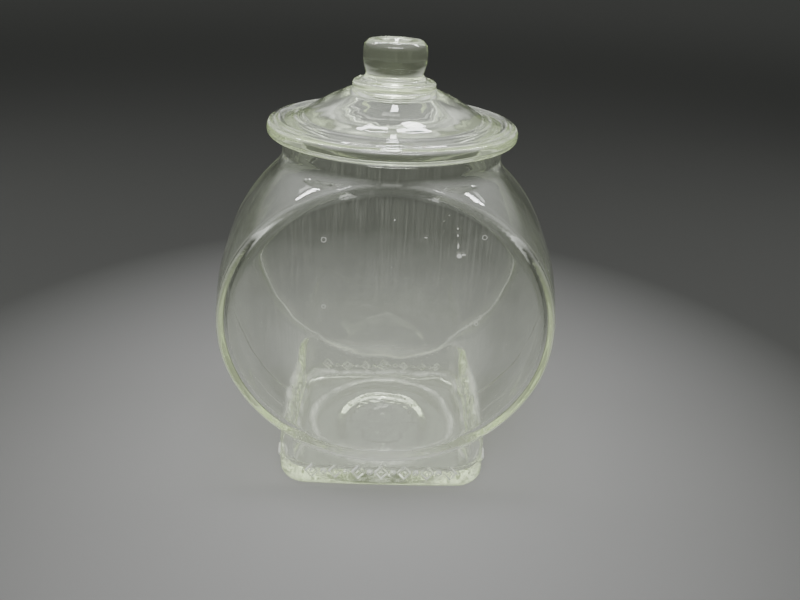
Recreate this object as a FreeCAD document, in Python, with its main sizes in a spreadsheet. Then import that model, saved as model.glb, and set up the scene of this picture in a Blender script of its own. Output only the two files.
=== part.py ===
"""Clear glass counter jar with a lift-off lid.

The jar is one pressed and blown piece of glass: a drum-shaped bowl that lies on its side, a
square foot below it and a round neck above it. The lid is a second piece, turned about the
vertical axis, with a solid knob, a hollow dome and a plug that drops into the mouth.

Frame: millimetres, +Z up, +X to the right, -Y towards the front panel. The origin is the
middle of the foot's underside. Both pieces are shown closed, with the lid on the rim.
"""
import FreeCAD, Part
import math
import os
import Sketcher
from FreeCAD import Placement, Rotation, Vector

DIMENSIONS = {
    # The bowl is a crowned drum with its axis along Y and a flat panel at each end.
    "bowl_centre_height": 130.1,
    "waist_half_width": 121.3,
    "waist_half_height": 126.5,
    "panel_half_width": 111.6,
    "panel_half_height": 104.5,
    "panel_distance": 75.0,
    "panel_edge_radius": 4.0,
    "bowl_wall": 5.0,
    # The foot is a square pad with round corners that narrows a little upwards.
    "foot_width": 157.6,
    "foot_depth": 151.2,
    "foot_corner_radius": 19.5,
    "foot_pad_height": 64.0,
    "foot_taper_angle": 2.4,
    "foot_edge_radius": 6.5,
    "foot_wall": 8.0,
    "floor_thickness": 9.0,
    "push_up_radius": 42.0,
    "push_up_top_radius": 34.0,
    "push_up_depth": 3.0,
    # The neck is a straight collar, and its rim carries the lid.
    "neck_radius": 74.6,
    "mouth_radius": 68.0,
    "rim_height": 246.5,
    "rim_edge_radius": 2.0,
    "mouth_overrun": 14.0,
    # The ornament is a row of raised lozenges with round beads between them.
    "ornament_height": 15.0,
    "ornament_relief": 1.0,
    "ornament_root": 4.0,
    "ornament_pitch": 17.0,
    "lozenge_half_width": 5.5,
    "lozenge_half_height": 6.5,
    "bead_radius": 2.2,
    # The lid's heights count upwards from its seat on the rim.
    "seat_gap": 0.1,
    "plug_radius": 66.5,
    "plug_tip_radius": 66.0,
    "plug_depth": 4.0,
    "plug_wall": 5.5,
    "seat_radius": 76.5,
    "flange_lower_radius": 82.0,
    "flange_lower_rise": 1.9,
    "flange_upper_rise": 9.4,
    "flange_edge_curve": 4.6,
    "bead_outer_radius": 78.0,
    "bead_inner_radius": 73.5,
    "bead_rise": 10.3,
    "bead_curve": 2.8,
    "dome_foot_radius": 60.0,
    "dome_foot_rise": 13.3,
    "dome_curve": 190.0,
    "collar_radius": 27.6,
    "collar_lower_rise": 30.6,
    "collar_upper_rise": 35.6,
    "knob_neck_radius": 18.9,
    "knob_neck_rise": 38.8,
    "knob_neck_curve": 8.5,
    "knob_side_curve": 20.0,
    "knob_shoulder_rise": 57.9,
    "knob_shoulder_curve": 4.0,
    "knob_crown_radius": 15.4,
    "knob_top_rise": 60.9,
    "knob_dish": 1.0,
    "hollow_radius": 57.5,
    "hollow_rise": 6.0,
    "hollow_top_radius": 22.0,
    "hollow_top_rise": 24.0,
    "hollow_curve": 48.0,
}

FRONT, LEFT, BACK, RIGHT = 0.0, -90.0, 180.0, 90.0
LOZENGES_PER_FACE = 7
FLAT = 0.01             # an edge whose box is thinner than this lies in a plane across that axis
LONG = 10.0             # an edge longer than this is one of a piece's main outlines
ORIGIN_POINT = (-1, 1)
HORIZONTAL_AXIS = -1
VERTICAL_AXIS = -2
STEP_FOLDER = "parts"


def cell(alias):
    """The value of one driving dimension."""
    return DIMENSIONS[alias]


def make_sheet(doc):
    """A spreadsheet with one named cell for each driving dimension."""
    sheet = doc.addObject("Spreadsheet::Sheet", "dims")
    for row, (alias, value) in enumerate(DIMENSIONS.items(), start=1):
        sheet.set("A%d" % row, alias)
        sheet.set("B%d" % row, str(value))
        sheet.setAlias("B%d" % row, alias)
    doc.recompute()
    return sheet


def plane_of(body, role):
    """One of a body's own origin planes."""
    return next(item for item in body.Origin.OriginFeatures if item.Role == role)


def add_sketch(body, name, role, height=None):
    """A sketch on an origin plane, moved along the plane's normal by an expression."""
    sketch = body.newObject("Sketcher::SketchObject", name)
    sketch.AttachmentSupport = [(plane_of(body, role), "")]
    sketch.MapMode = "FlatFace"
    if height:
        sketch.setExpression("AttachmentOffset.Base.z", height)
    return sketch


def drive(sketch, name, expression, kind, *where):
    """A named sketch dimension that follows an expression of the sheet's cells."""
    index = sketch.addConstraint(Sketcher.Constraint(kind, *where))
    sketch.renameConstraint(index, name)
    sketch.setExpression("Constraints." + name, expression)


def circle_sketch(body, name, role, height, radius):
    """A circle about the origin."""
    sketch = add_sketch(body, name, role, height)
    sketch.addGeometry(Part.Circle(Vector(), Vector(0, 0, 1), 10.0))
    sketch.addConstraint(Sketcher.Constraint("Coincident", 0, 3, *ORIGIN_POINT))
    drive(sketch, "circle_radius", radius, "Radius", 0, 10.0)
    return sketch


def close_half(sketch, reach):
    """Ends an upper half outline on the horizontal axis and closes it with a line."""
    sketch.addConstraint(Sketcher.Constraint("Coincident", 0, 3, *ORIGIN_POINT))
    sketch.addConstraint(Sketcher.Constraint("PointOnObject", 0, 1, HORIZONTAL_AXIS))
    sketch.addConstraint(Sketcher.Constraint("PointOnObject", 0, 2, HORIZONTAL_AXIS))
    line = sketch.addGeometry(Part.LineSegment(Vector(-reach, 0), Vector(reach, 0)))
    sketch.addConstraint(Sketcher.Constraint("Coincident", 0, 2, line, 1))
    sketch.addConstraint(Sketcher.Constraint("Coincident", line, 2, 0, 1))


def half_oval_sketch(body, name, height, inset, half_width, half_height):
    """The upper half of an oval section of the bowl, wider than tall or taller than wide."""
    sketch = add_sketch(body, name, "XZ_Plane", height)
    wide = cell(half_width)
    tall = cell(half_height)
    if wide > tall:
        oval = Part.Ellipse(Vector(wide, 0, 0), Vector(0, tall, 0), Vector())
        sketch.addGeometry(Part.ArcOfEllipse(oval, 0.0, math.pi))
    else:
        oval = Part.Ellipse(Vector(0, tall, 0), Vector(-wide, 0, 0), Vector())
        sketch.addGeometry(Part.ArcOfEllipse(oval, -math.pi / 2, math.pi / 2))
    close_half(sketch, wide)
    sketch.exposeInternalGeometry(0)
    long_axis, short_axis = 2, 3
    level_axis, upright_axis = (long_axis, short_axis) if wide > tall else (short_axis, long_axis)
    sketch.addConstraint(Sketcher.Constraint("Horizontal", level_axis))
    drive(sketch, "full_width", "2 * (dims.%s - (%s))" % (half_width, inset),
          "Distance", level_axis, 2 * wide)
    drive(sketch, "full_height", "2 * (dims.%s - (%s))" % (half_height, inset),
          "Distance", upright_axis, 2 * tall)
    return sketch


def bowl_solid(doc, name, inset):
    """The crowned drum: an upper half lofted from panel to waist to panel, and its mirror."""
    body = doc.addObject("PartDesign::Body", name)
    reach = "dims.panel_distance - (%s)" % inset
    panel = (inset, "panel_half_width", "panel_half_height")
    front = half_oval_sketch(body, name + "_front_outline", reach, *panel)
    waist = half_oval_sketch(body, name + "_waist_outline", None, inset,
                             "waist_half_width", "waist_half_height")
    back = half_oval_sketch(body, name + "_back_outline", "-(%s)" % reach, *panel)
    loft = body.newObject("PartDesign::AdditiveLoft", name + "_upper_half")
    loft.Profile = front
    loft.Sections = [waist, back]
    body.Tip = loft
    doc.recompute()
    mirror = body.newObject("PartDesign::Mirrored", name + "_lower_half")
    mirror.Originals = [loft]
    mirror.MirrorPlane = (plane_of(body, "XY_Plane"), [""])
    body.Tip = mirror
    doc.recompute()
    rims = edges_where(mirror.Shape, lambda box: box.YLength < FLAT and box.XLength > LONG)
    round_edges(body, name + "_panel_edges", mirror, rims, "dims.panel_edge_radius")
    body.setExpression("Placement.Base.z", "dims.bowl_centre_height")
    return body


def edges_where(shape, test):
    """Names of the edges whose bounding box passes a test."""
    return ["Edge%d" % number for number, edge in enumerate(shape.Edges, start=1)
            if test(edge.BoundBox)]


def round_edges(body, name, feature, edges, radius):
    """A fillet whose radius follows the sheet."""
    fillet = body.newObject("PartDesign::Fillet", name)
    fillet.Base = (feature, edges)
    fillet.Radius = 1.0
    fillet.setExpression("Radius", radius)
    body.Tip = fillet
    body.Document.recompute()
    return fillet


def rectangle_sketch(body, name, height, width, depth):
    """A rectangle centred on the origin."""
    sketch = add_sketch(body, name, "XY_Plane", height)
    half_x = cell("foot_width") / 2
    half_y = cell("foot_depth") / 2
    corners = [Vector(half_x, -half_y), Vector(half_x, half_y),
               Vector(-half_x, half_y), Vector(-half_x, -half_y)]
    for side in range(4):
        sketch.addGeometry(Part.LineSegment(corners[side], corners[(side + 1) % 4]))
    for side in range(4):
        sketch.addConstraint(Sketcher.Constraint("Coincident", side, 2, (side + 1) % 4, 1))
    for side in (0, 2):
        sketch.addConstraint(Sketcher.Constraint("Vertical", side))
    for side in (1, 3):
        sketch.addConstraint(Sketcher.Constraint("Horizontal", side))
    sketch.addConstraint(Sketcher.Constraint("Symmetric", 0, 1, 1, 2, *ORIGIN_POINT))
    drive(sketch, "rectangle_width", width, "DistanceX", 1, 2, 1, 1, 2 * half_x)
    drive(sketch, "rectangle_depth", depth, "DistanceY", 0, 1, 0, 2, 2 * half_y)
    return sketch


def foot_solid(doc, name, inset, bottom):
    """The square foot, or the space inside it when an inset is given."""
    body = doc.addObject("PartDesign::Body", name)
    outline = rectangle_sketch(body, name + "_outline", bottom,
                               "dims.foot_width - 2 * (%s)" % inset,
                               "dims.foot_depth - 2 * (%s)" % inset)
    pad = body.newObject("PartDesign::Pad", name + "_pad")
    pad.Profile = outline
    pad.setExpression("Length", "dims.foot_pad_height - (%s)" % bottom)
    pad.setExpression("TaperAngle", "-dims.foot_taper_angle")
    body.Tip = pad
    doc.recompute()
    uprights = edges_where(pad.Shape, lambda box: box.ZLength > LONG)
    corners = round_edges(body, name + "_corners", pad, uprights, "dims.foot_corner_radius")
    floor = pad.Shape.BoundBox.ZMin
    lower = edges_where(corners.Shape, lambda box: box.ZMax < floor + FLAT)
    round_edges(body, name + "_lower_edge", corners, lower, "dims.foot_edge_radius")
    return body


def neck_solid(doc, name, radius, top):
    """A round column from the middle of the bowl up to the rim, or beyond it."""
    body = doc.addObject("PartDesign::Body", name)
    outline = circle_sketch(body, name + "_outline", "XY_Plane", "dims.bowl_centre_height", radius)
    pad = body.newObject("PartDesign::Pad", name + "_pad")
    pad.Profile = outline
    pad.setExpression("Length", "%s - dims.bowl_centre_height" % top)
    body.Tip = pad
    doc.recompute()
    return body


def lozenge_sketch(body, name, middle_x):
    """A raised lozenge's outline, with its middle at the ornament's height."""
    sketch = add_sketch(body, name, "XZ_Plane")
    middle_z = cell("ornament_height")
    half_x = cell("lozenge_half_width")
    half_z = cell("lozenge_half_height")
    corners = [Vector(middle_x + half_x, middle_z), Vector(middle_x, middle_z + half_z),
               Vector(middle_x - half_x, middle_z), Vector(middle_x, middle_z - half_z)]
    for side in range(4):
        sketch.addGeometry(Part.LineSegment(corners[side], corners[(side + 1) % 4]))
    for side in range(4):
        sketch.addConstraint(Sketcher.Constraint("Coincident", side, 2, (side + 1) % 4, 1))
    for first, second in ((1, 2), (2, 3), (3, 0)):
        sketch.addConstraint(Sketcher.Constraint("Equal", first, second))
    drive(sketch, "middle_height", "dims.ornament_height", "DistanceY", *ORIGIN_POINT, 0, 1, middle_z)
    drive(sketch, "top_height", "dims.ornament_height + dims.lozenge_half_height",
          "DistanceY", *ORIGIN_POINT, 1, 1, middle_z + half_z)
    drive(sketch, "left_end", "%g * dims.ornament_pitch + dims.lozenge_half_width" % pitches(),
          "DistanceX", 2, 1, *ORIGIN_POINT, half_x - middle_x)
    drive(sketch, "lozenge_width", "2 * dims.lozenge_half_width", "DistanceX", 2, 1, 0, 1, 2 * half_x)
    return sketch


def pitches():
    """How many pitches the first lozenge stands from the middle of its row."""
    return (LOZENGES_PER_FACE - 1) / 2


def bead_sketch(body, name, middle_x):
    """A round bead's outline between the first two lozenges."""
    sketch = add_sketch(body, name, "XZ_Plane")
    middle_z = cell("ornament_height")
    sketch.addGeometry(Part.Circle(Vector(middle_x, middle_z, 0), Vector(0, 0, 1), 2.0))
    drive(sketch, "bead_radius", "dims.bead_radius", "Radius", 0, 2.0)
    drive(sketch, "bead_height", "dims.ornament_height", "DistanceY", *ORIGIN_POINT, 0, 3, middle_z)
    drive(sketch, "bead_place", "%g * dims.ornament_pitch" % (pitches() - 0.5),
          "DistanceX", 0, 3, *ORIGIN_POINT, -middle_x)
    return sketch


def raise_row(body, name, outline, count):
    """Pads one outline and repeats it along X at the ornament's pitch."""
    pad = body.newObject("PartDesign::Pad", name + "_pad")
    pad.Profile = outline
    pad.setExpression("Length", "dims.ornament_root + dims.ornament_relief")
    body.Tip = pad
    body.Document.recompute()
    row = body.newObject("PartDesign::LinearPattern", name + "_row")
    row.Originals = [pad]
    row.Direction = (outline, ["H_Axis"])
    row.Occurrences = count
    row.setExpression("Length", "%d * dims.ornament_pitch" % (count - 1))
    body.Tip = row
    body.Document.recompute()
    return row


def ornament_row(doc, side, turn, half_depth):
    """A row of lozenges or beads that stands proud of one face of the foot."""
    rows = []
    middle = -pitches() * cell("ornament_pitch")
    for kind, maker, place, count in (
            ("lozenges", lozenge_sketch, middle, LOZENGES_PER_FACE),
            ("beads", bead_sketch, middle + cell("ornament_pitch") / 2, LOZENGES_PER_FACE - 1)):
        name = "%s_%s" % (side, kind)
        body = doc.addObject("PartDesign::Body", name)
        raise_row(body, name, maker(body, name + "_outline", place), count)
        face = "(%s - dims.ornament_height * tan(dims.foot_taper_angle) - dims.ornament_root)"
        reach = face % half_depth
        body.Placement = Placement(Vector(), Rotation(Vector(0, 0, 1), turn))
        body.setExpression("Placement.Base.x", "%s * sin(%g deg)" % (reach, turn))
        body.setExpression("Placement.Base.y", "-%s * cos(%g deg)" % (reach, turn))
        rows.append(body)
    return rows


def push_up(doc):
    """The shallow hollow under the foot, which leaves a bearing ring around it."""
    cone = doc.addObject("Part::Cone", "push_up")
    cone.setExpression("Radius1", "dims.push_up_radius")
    cone.setExpression("Radius2", "dims.push_up_top_radius")
    cone.setExpression("Height", "dims.push_up_depth")
    return cone


def fuse(doc, name, shapes):
    """One solid from several that overlap."""
    joined = doc.addObject("Part::MultiFuse", name)
    joined.Shapes = shapes
    joined.Refine = True
    return joined


def make_jar(doc):
    """The jar: bowl, foot, neck and ornament in one piece of glass, with one hollow."""
    neck = neck_solid(doc, "neck_outside", "dims.neck_radius", "dims.rim_height")
    rim = edges_where(neck.Tip.Shape, lambda box: box.ZMin > cell("rim_height") - FLAT)
    round_edges(neck, "neck_rim_edge", neck.Tip, rim, "dims.rim_edge_radius")
    solids = [bowl_solid(doc, "bowl_outside", "0"), foot_solid(doc, "foot_outside", "0", "0"), neck]
    for side, turn, half_depth in (("front", FRONT, "dims.foot_depth / 2"),
                                   ("back", BACK, "dims.foot_depth / 2"),
                                   ("left", LEFT, "dims.foot_width / 2"),
                                   ("right", RIGHT, "dims.foot_width / 2")):
        solids += ornament_row(doc, side, turn, half_depth)
    hollows = [bowl_solid(doc, "bowl_inside", "dims.bowl_wall"),
               foot_solid(doc, "foot_inside", "dims.foot_wall", "dims.floor_thickness"),
               neck_solid(doc, "mouth", "dims.mouth_radius", "(dims.rim_height + dims.mouth_overrun)"),
               push_up(doc)]
    outside = fuse(doc, "jar_outside", solids)
    inside = fuse(doc, "jar_inside", hollows)
    jar = doc.addObject("Part::Cut", "jar")
    jar.Base = outside
    jar.Tool = inside
    jar.Refine = True
    jar.Label = "jar"
    return jar


class Profile:
    """A closed half-section of a turned piece, drawn point by point with driven points."""

    def __init__(self, sketch):
        self.sketch = sketch
        self.points = []
        self.curves = []

    def to(self, radius, rise, curve=None, bulge=1):
        """Adds a point, and the curve radius of the arc that leads to it, if any."""
        self.points.append((radius, rise))
        self.curves.append((curve, bulge))

    def close(self):
        """Draws the outline through all the points and ties each one to the sheet."""
        places = [Vector(value_of(radius), value_of(rise)) for radius, rise in self.points]
        count = len(places)
        for number in range(count):
            start = places[number]
            end = places[(number + 1) % count]
            curve, bulge = self.curves[(number + 1) % count]
            if curve:
                self.sketch.addGeometry(arc_between(start, end, value_of(curve), bulge))
            else:
                self.sketch.addGeometry(Part.LineSegment(start, end))
        for number in range(count):
            self.join(number, (number + 1) % count)
        for number, (radius, rise) in enumerate(self.points):
            self.pin(number, "DistanceX", "radius_%d" % number, radius)
            self.pin(number, "DistanceY", "rise_%d" % number, rise)
        for number in range(count):
            curve, bulge = self.curves[(number + 1) % count]
            if curve:
                drive(self.sketch, "curve_%d" % number, curve, "Radius", number, value_of(curve))

    def join(self, number, following):
        """Makes the end of one line or arc meet the start of the next."""
        self.sketch.addConstraint(Sketcher.Constraint(
            "Coincident", number, self.end_of(number), following, self.start_of(following)))

    def start_of(self, number):
        """The sketcher's point number for the outline's way into a line or arc."""
        curve, bulge = self.curves[(number + 1) % len(self.curves)]
        return 2 if curve and bulge > 0 else 1

    def end_of(self, number):
        """The sketcher's point number for the outline's way out of a line or arc."""
        return 3 - self.start_of(number)

    def pin(self, number, kind, name, expression):
        """Holds one point at a distance from the origin along X or Y."""
        value = value_of(expression)
        point = self.start_of(number)
        if value == 0:
            axis = VERTICAL_AXIS if kind == "DistanceX" else HORIZONTAL_AXIS
            self.sketch.addConstraint(Sketcher.Constraint("PointOnObject", number, point, axis))
        elif value > 0:
            drive(self.sketch, name, expression, kind, *ORIGIN_POINT, number, point, value)
        else:
            drive(self.sketch, name, "-(%s)" % expression, kind, number, point, *ORIGIN_POINT, -value)


def value_of(expression):
    """The number that an expression of the sheet's cells gives."""
    total = 0.0
    for term in expression.replace("- ", "+ -").split(" + "):
        sign = -1.0 if term.startswith("-") else 1.0
        word = term.lstrip("-")
        total += sign * (cell(word[5:]) if word.startswith("dims.") else float(word))
    return total


def arc_between(start, end, radius, bulge):
    """An arc of a given radius from start to end, bulging to the left of the way if bulge > 0."""
    middle = (start + end) * 0.5
    chord = end - start
    half = chord.Length / 2
    left = Vector(-chord.y, chord.x, 0).normalize() * bulge
    height = radius - (radius * radius - half * half) ** 0.5
    return Part.Arc(start, middle + left * height, end)


def make_lid(doc):
    """The lid: a turned solid with a knob, a collar, a dome, a flange and a plug."""
    body = doc.addObject("PartDesign::Body", "lid")
    sketch = add_sketch(body, "lid_half_section", "XZ_Plane")
    outline = Profile(sketch)
    outline.to("0", "dims.knob_top_rise - dims.knob_dish")
    outline.to("dims.knob_crown_radius", "dims.knob_top_rise")
    outline.to("dims.knob_neck_radius", "dims.knob_shoulder_rise", "dims.knob_shoulder_curve")
    outline.to("dims.knob_neck_radius", "dims.knob_neck_rise", "dims.knob_side_curve")
    outline.to("dims.collar_radius", "dims.collar_upper_rise", "dims.knob_neck_curve", -1)
    outline.to("dims.collar_radius", "dims.collar_lower_rise")
    outline.to("dims.dome_foot_radius", "dims.dome_foot_rise", "dims.dome_curve")
    outline.to("dims.bead_inner_radius", "dims.bead_rise")
    outline.to("dims.bead_outer_radius", "dims.bead_rise", "dims.bead_curve")
    outline.to("dims.flange_lower_radius", "dims.flange_upper_rise")
    outline.to("dims.flange_lower_radius", "dims.flange_lower_rise", "dims.flange_edge_curve")
    outline.to("dims.seat_radius", "0")
    outline.to("dims.plug_radius", "0")
    outline.to("dims.plug_tip_radius", "-dims.plug_depth")
    outline.to("dims.plug_tip_radius - dims.plug_wall", "-dims.plug_depth")
    outline.to("dims.hollow_radius", "dims.hollow_rise")
    outline.to("dims.hollow_top_radius", "dims.hollow_top_rise", "dims.hollow_curve", -1)
    outline.to("0", "dims.hollow_top_rise")
    outline.close()
    turned = body.newObject("PartDesign::Revolution", "lid_turned")
    turned.Profile = sketch
    turned.ReferenceAxis = (sketch, ["V_Axis"])
    turned.Angle = 360.0
    body.Tip = turned
    body.Placement = Placement()
    body.setExpression("Placement.Base.z", "dims.rim_height + dims.seat_gap")
    body.Label = "lid"
    return body


def check_document(doc):
    """Stops if any object of the document failed to recompute."""
    for item in doc.Objects:
        if "Invalid" in item.State or "Error" in item.State:
            raise RuntimeError("%s did not recompute: %s" % (item.Name, item.State))


def export(pieces):
    """Writes each piece to its own STEP file, once all of them are whole."""
    for piece in pieces:
        if piece.Shape.isNull() or not piece.Shape.isValid() or len(piece.Shape.Solids) != 1:
            raise RuntimeError("%s is not one valid solid" % piece.Label)
    os.makedirs(STEP_FOLDER, exist_ok=True)
    for piece in pieces:
        piece.Shape.exportStep(os.path.join(STEP_FOLDER, piece.Label + ".step"))
        box = piece.Shape.BoundBox
        print("%s: x %.1f to %.1f, y %.1f to %.1f, z %.1f to %.1f, volume %.0f" % (
            piece.Label, box.XMin, box.XMax, box.YMin, box.YMax, box.ZMin, box.ZMax,
            piece.Shape.Volume))


def main():
    doc = FreeCAD.newDocument("counter_jar")
    make_sheet(doc)
    pieces = [make_jar(doc), make_lid(doc)]
    doc.recompute()
    check_document(doc)
    export(pieces)


main()
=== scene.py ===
"""Clear glass counter jar with a lift-off lid: the looks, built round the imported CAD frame."""
import math

import bpy
import numpy as np
from mathutils import Matrix, Vector


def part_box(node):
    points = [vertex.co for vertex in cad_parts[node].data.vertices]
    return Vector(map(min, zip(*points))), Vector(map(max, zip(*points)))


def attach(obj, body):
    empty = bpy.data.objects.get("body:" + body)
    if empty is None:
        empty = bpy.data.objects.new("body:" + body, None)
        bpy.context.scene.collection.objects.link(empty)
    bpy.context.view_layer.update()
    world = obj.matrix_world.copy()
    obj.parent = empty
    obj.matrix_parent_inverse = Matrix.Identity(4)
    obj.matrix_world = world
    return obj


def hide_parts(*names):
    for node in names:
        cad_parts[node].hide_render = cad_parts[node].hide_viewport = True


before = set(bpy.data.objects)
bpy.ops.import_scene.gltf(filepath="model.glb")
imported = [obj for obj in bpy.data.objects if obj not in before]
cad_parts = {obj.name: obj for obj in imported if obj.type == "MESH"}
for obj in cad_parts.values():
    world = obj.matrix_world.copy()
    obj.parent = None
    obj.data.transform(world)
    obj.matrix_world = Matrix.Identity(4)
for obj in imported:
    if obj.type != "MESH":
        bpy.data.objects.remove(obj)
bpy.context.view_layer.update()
MM = 0.001

# ---------------------------------------------------------------- sizes, in millimetres

JAR_LOW, JAR_HIGH = (np.array(corner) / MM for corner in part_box("jar"))
LID_LOW, LID_HIGH = (np.array(corner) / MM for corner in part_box("lid"))

RIM = JAR_HIGH[2]                              # height of the mouth's rim
WAIST = (JAR_HIGH[0] - JAR_LOW[0]) / 2         # the bowl's outline halfway between the panels
NECK = 74.6                                    # the neck's outer radius
PANEL = 75.0                                   # each flat panel's distance from the middle
WAIST_TALL = WAIST + 5.2                       # the same outline is taller than it is wide
BOWL_MIDDLE = WAIST + 8.8
PANEL_HALF_WIDTH = WAIST - 9.7
PANEL_HALF_HEIGHT = WAIST - 16.8
PANEL_ROUND = 2.8
PANEL_DOME = 0.8                               # how far a panel's middle stands proud of its edge
FOOT_HALF = (78.8, 75.7)                       # half width and half depth at the table
FOOT_BOW = 2.0                                 # how far each face's middle stands beyond its ends
FOOT_CORNER = 20.0
FOOT_TAPER = math.tan(math.radians(2.4))
FOOT_TOP = 64.0
FOOT_ROUND = 6.5
FOOT_BLEND = 1.2                               # the fillet between the bowl and the foot
NECK_BLEND = 4.0                               # and the one between the bowl and the neck
COLUMN_ROOT = 34.0                             # how far the neck reaches down inside the bowl
PUSH_UP_RADIUS = 42.0                          # of the shallow hollow under the foot
PUSH_UP_DEPTH = 3.0
MOUTH = 68.0                                   # the mouth's radius
LIP_ROUND = 1.8
BOWL_WALL = 4.8                                # glass thicknesses
BOWL_WALL_ROUND = 5.5
FOOT_WALL = 8.0
FLOOR = 9.0                                    # thickness of the glass under the hollow
FLOOR_RING = 57.0                              # radius of the low ring on the hollow's floor
SEAM_HEIGHT = 0.35                             # the mould seam up each side
SEAM_WIDTH = 0.75

LID_SEAT = RIM + 0.1                           # the lid's underside, a hair above the rim
LID_TOP = LID_HIGH[2]
LID_TIP = LID_LOW[2]                           # the lower end of the plug
FLANGE = (LID_HIGH[0] - LID_LOW[0]) / 2        # the flange's outer radius

# The ornament is a row of raised lozenges with round beads between them, on all four faces.
ORNAMENT_MIDDLE = 15.0
ORNAMENT_PITCH = 17.0
LOZENGE = (5.6, 6.6)
LOZENGES_PER_FACE = 7
BEAD = 2.3
RELIEF = 1.5

# How strongly each place is frosted white, from 0 to 1: painted highlight lines at edges, joints, corners
# and the ornament.
CORNER_FROST_HIGHLIGHT = 0.16
FRONT_PANEL_FROST_HIGHLIGHT = 0.52
BACK_PANEL_FROST_HIGHLIGHT = 0.38
JOINT_FROST_HIGHLIGHT = 0.75
FLOOR_EDGE_FROST_HIGHLIGHT = 0.75
FLOOR_RING_FROST_HIGHLIGHT = 0.6


# ---------------------------------------------------------------- shape functions

def smooth(value):
    """Rises softly from 0 to 1 as value goes from 0 to 1."""
    t = np.clip(value, 0.0, 1.0)
    return t * t * (3 - 2 * t)


def ripple(p, wavelength, seed, waves=7):
    """A gentle unevenness of about unit size, a sum of plane waves in fixed random directions."""
    draw = np.random.RandomState(seed)
    total = 0.0
    for _ in range(waves):
        way = draw.normal(size=3)
        way *= 2 * math.pi / (wavelength * draw.uniform(0.7, 1.5) * np.linalg.norm(way))
        total = total + np.sin(p @ way + draw.uniform(0, 2 * math.pi))
    return total / math.sqrt(waves / 2)


def meet(a, b, radius):
    """The overlap of two solids, with its edge rounded to a radius."""
    outside = np.hypot(np.maximum(a + radius, 0), np.maximum(b + radius, 0))
    return np.minimum(np.maximum(a, b), -radius) + outside


def join(a, b, radius):
    """Two solids run together, with the corner between them filled to a radius."""
    return -meet(-a, -b, radius)


def drum_sides(p, inset, dome):
    """The drum's crowned side and its two flat ends, each negative on the drum's side of it."""
    x, y, z = p[..., 0], p[..., 1], p[..., 2] - BOWL_MIDDLE
    panel = PANEL - inset
    crown = 1 - np.minimum(np.abs(y) / panel, 1.2) ** 2
    half_x = PANEL_HALF_WIDTH - inset + (WAIST - PANEL_HALF_WIDTH) * crown
    half_z = PANEL_HALF_HEIGHT - inset + (WAIST_TALL - PANEL_HALF_HEIGHT) * crown
    reach = np.sqrt((x / half_x) ** 2 + (z / half_z) ** 2) + 1e-9
    slope = np.sqrt((x / half_x ** 2) ** 2 + (z / half_z ** 2) ** 2) + 1e-9
    side = (reach - 1) * reach / slope
    bulge = dome * (1 - np.minimum(reach, 1.0) ** 2)
    return side, np.abs(y) - panel - bulge


def drum(p, inset, round_radius, dome):
    """The crowned drum on its side, with a flat panel at each end of the Y axis."""
    side, end = drum_sides(p, inset, dome)
    return meet(side, end, round_radius)


def pad(p, inset, bottom, round_radius, corner):
    """The square foot with round corners, which narrows a little upwards."""
    x, y, z = p[..., 0], p[..., 1], p[..., 2]
    narrow = inset + corner + z * FOOT_TAPER
    beyond_x = np.abs(x) - (FOOT_HALF[0] - narrow - FOOT_BOW * (y / FOOT_HALF[1]) ** 2)
    beyond_y = np.abs(y) - (FOOT_HALF[1] - narrow - FOOT_BOW * (x / FOOT_HALF[0]) ** 2)
    outside = np.hypot(np.maximum(beyond_x, 0), np.maximum(beyond_y, 0))
    side = outside + np.minimum(np.maximum(beyond_x, beyond_y), 0) - corner
    return np.maximum(meet(side, bottom - z, round_radius), z - FOOT_TOP)


def column(p, radius):
    """A round column from inside the bowl upwards, drawn in where it passes the flat panels."""
    z = p[..., 2]
    reach = np.hypot(p[..., 0], p[..., 1])
    facing = smooth((np.abs(p[..., 1]) / (reach + 1e-9) - 0.6) / 0.3)
    drop = BOWL_MIDDLE + PANEL_HALF_HEIGHT - z
    drawn_in = 9.0 * smooth(drop / COLUMN_ROOT) * facing
    return np.maximum(reach - radius + drawn_in, drop - COLUMN_ROOT)


def push_up(p):
    """Height of the shallow hollow under the foot, with a faint step round its rim."""
    radius = np.hypot(p[..., 0], p[..., 1])
    hollow = PUSH_UP_DEPTH * smooth((PUSH_UP_RADIUS - radius) / 14.0)
    ring = 0.5 * np.exp(-((radius - 24.0) / 2.0) ** 2)
    return hollow + ring


def ornament(p):
    """Height of the raised row on the foot, as a distance out from its faces."""
    x, y, z = p[..., 0], p[..., 1], p[..., 2] - ORNAMENT_MIDDLE
    front = np.abs(y) / FOOT_HALF[1] > np.abs(x) / FOOT_HALF[0]
    along = np.where(front, x, y)
    reach = (LOZENGES_PER_FACE - 1) / 2 * ORNAMENT_PITCH
    last = LOZENGES_PER_FACE // 2
    nearest = np.clip(np.round(along / ORNAMENT_PITCH), -last, last) * ORNAMENT_PITCH
    depth = 1 - np.abs(along - nearest) / LOZENGE[0] - np.abs(z) / LOZENGE[1]
    sunk = 0.55 * smooth((depth - 0.22) / 0.2) - 0.5 * smooth((depth - 0.6) / 0.2)
    lozenge = smooth(depth / 0.12) - sunk
    between = (np.floor(along / ORNAMENT_PITCH) + 0.5) * ORNAMENT_PITCH
    bead = np.sqrt(np.maximum(1 - ((along - between) ** 2 + z ** 2) / BEAD ** 2, 0))
    return RELIEF * np.where(np.abs(along) < reach + LOZENGE[0] + 1, np.maximum(lozenge, bead), 0)


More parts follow.
